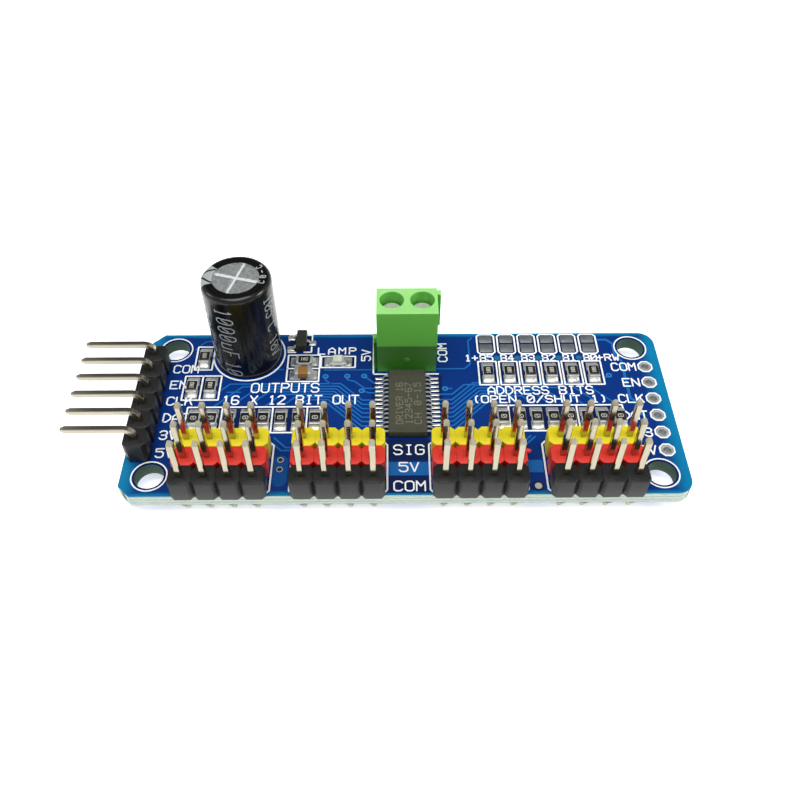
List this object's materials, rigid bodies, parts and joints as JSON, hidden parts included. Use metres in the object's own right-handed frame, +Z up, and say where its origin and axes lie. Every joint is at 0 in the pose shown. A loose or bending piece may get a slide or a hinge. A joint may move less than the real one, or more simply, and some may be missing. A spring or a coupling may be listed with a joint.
{
  "type": "servo driver board",
  "caption": "Flat rectangular circuit board with rows of upright coloured pin headers, a bent pin header, a two-way screw terminal and an upright round capacitor.",
  "frame": {"origin": "centre of the four mounting holes at the underside of the board", "axes": "+X along the board to its spare plated holes, +Y to the back edge where the screw terminal and the capacitor stand, +Z up out of the component side"},
  "size_m": [0.0682, 0.0255, 0.0155],
  "materials": {
    "circuit_board": "glass-fibre laminate under a blue solder mask with white print",
    "yellow_nylon": "moulded yellow nylon, satin",
    "red_nylon": "moulded red nylon, satin",
    "black_nylon": "moulded black nylon, satin",
    "tinned_pins": "tin-plated brass, drawn and cut",
    "tinned_copper": "bright tin plating on copper alloy",
    "solder": "reflowed solder, bright",
    "green_housing": "moulded green polyamide, satin",
    "plated_screw": "nickel-plated steel",
    "brass_cage": "pressed brass",
    "capacitor_sleeve": "shrunk black plastic film with a grey stripe",
    "aluminium_can": "drawn aluminium, bright",
    "wound_foil": "wound foil and paper",
    "rubber_bung": "moulded rubber",
    "epoxy_package": "moulded black epoxy, fine matt",
    "resistor_body": "glazed black film on white ceramic",
    "tan_ceramic": "fired tan ceramic",
    "lamp_base": "white laminate",
    "lamp_lens": "clear moulded epoxy over a pale base"
  },
  "bodies": {
    "board": {"circuit_board": "circuit_board", "signal_strip_1": "yellow_nylon", "signal_strip_2": "yellow_nylon", "signal_strip_3": "yellow_nylon", "signal_strip_4": "yellow_nylon", "supply_strip_1": "red_nylon", "supply_strip_2": "red_nylon", "supply_strip_3": "red_nylon", "supply_strip_4": "red_nylon", "ground_strip_1": "black_nylon", "ground_strip_2": "black_nylon", "ground_strip_3": "black_nylon", "ground_strip_4": "black_nylon", "signal_pins_1": "tinned_pins", "signal_pins_2": "tinned_pins", "signal_pins_3": "tinned_pins", "signal_pins_4": "tinned_pins", "supply_pins_1": "tinned_pins", "supply_pins_2": "tinned_pins", "supply_pins_3": "tinned_pins", "supply_pins_4": "tinned_pins", "ground_pins_1": "tinned_pins", "ground_pins_2": "tinned_pins", "ground_pins_3": "tinned_pins", "ground_pins_4": "tinned_pins", "input_strip": "black_nylon", "input_pins": "tinned_pins", "spare_input_eyelets": "tinned_copper", "header_solder_joints": "solder", "terminal_housing": "green_housing", "left_contact_tag": "tinned_copper", "right_contact_tag": "tinned_copper", "capacitor_sleeve": "capacitor_sleeve", "capacitor_can": "aluminium_can", "capacitor_winding": "wound_foil", "capacitor_bung": "rubber_bung", "capacitor_leads": "tinned_copper", "driver_chip_body": "epoxy_package", "driver_chip_leads": "tinned_copper", "transistor_body": "epoxy_package", "transistor_leads": "tinned_copper", "lamp_base": "lamp_base", "lamp_lens": "lamp_lens", "lamp_terminals": "tinned_copper", "left_output_resistors": "resistor_body", "left_output_resistor_caps": "tinned_copper", "right_output_resistors": "resistor_body", "right_output_resistor_caps": "tinned_copper", "address_resistors": "resistor_body", "address_resistor_caps": "tinned_copper", "bus_resistors": "resistor_body", "bus_resistor_caps": "tinned_copper", "bypass_capacitor": "tan_ceramic", "bypass_capacitor_caps": "tinned_copper", "address_jumper_pads": "tinned_copper"},
    "left_screw": {"left_clamp_screw": "plated_screw"},
    "right_screw": {"right_clamp_screw": "plated_screw"},
    "left_cage": {"left_clamp_cage": "brass_cage"},
    "right_cage": {"right_clamp_cage": "brass_cage"}
  },
  "joints": [
    {"name": "left_screw_turn", "type": "hinge", "parent": "board", "child": "left_screw", "pos_m": [-0.00145, 0.00775, 0.0092], "axis": [0, 0, -1], "range_deg": [0, 1260]},
    {"name": "left_cage_rise", "type": "slide", "parent": "board", "child": "left_cage", "axis": [0, 0, 1], "range_m": [0, 0.0014]},
    {"name": "right_screw_turn", "type": "hinge", "parent": "board", "child": "right_screw", "pos_m": [0.00205, 0.00775, 0.0092], "axis": [0, 0, -1], "range_deg": [0, 1260]},
    {"name": "right_cage_rise", "type": "slide", "parent": "board", "child": "right_cage", "axis": [0, 0, 1], "range_m": [0, 0.0014]}
  ],
  "couplings": [
    {"joint": "left_screw_turn", "follows": "left_cage_rise", "rad_per_m": 15708},
    {"joint": "right_screw_turn", "follows": "right_cage_rise", "rad_per_m": 15708}
  ]
}
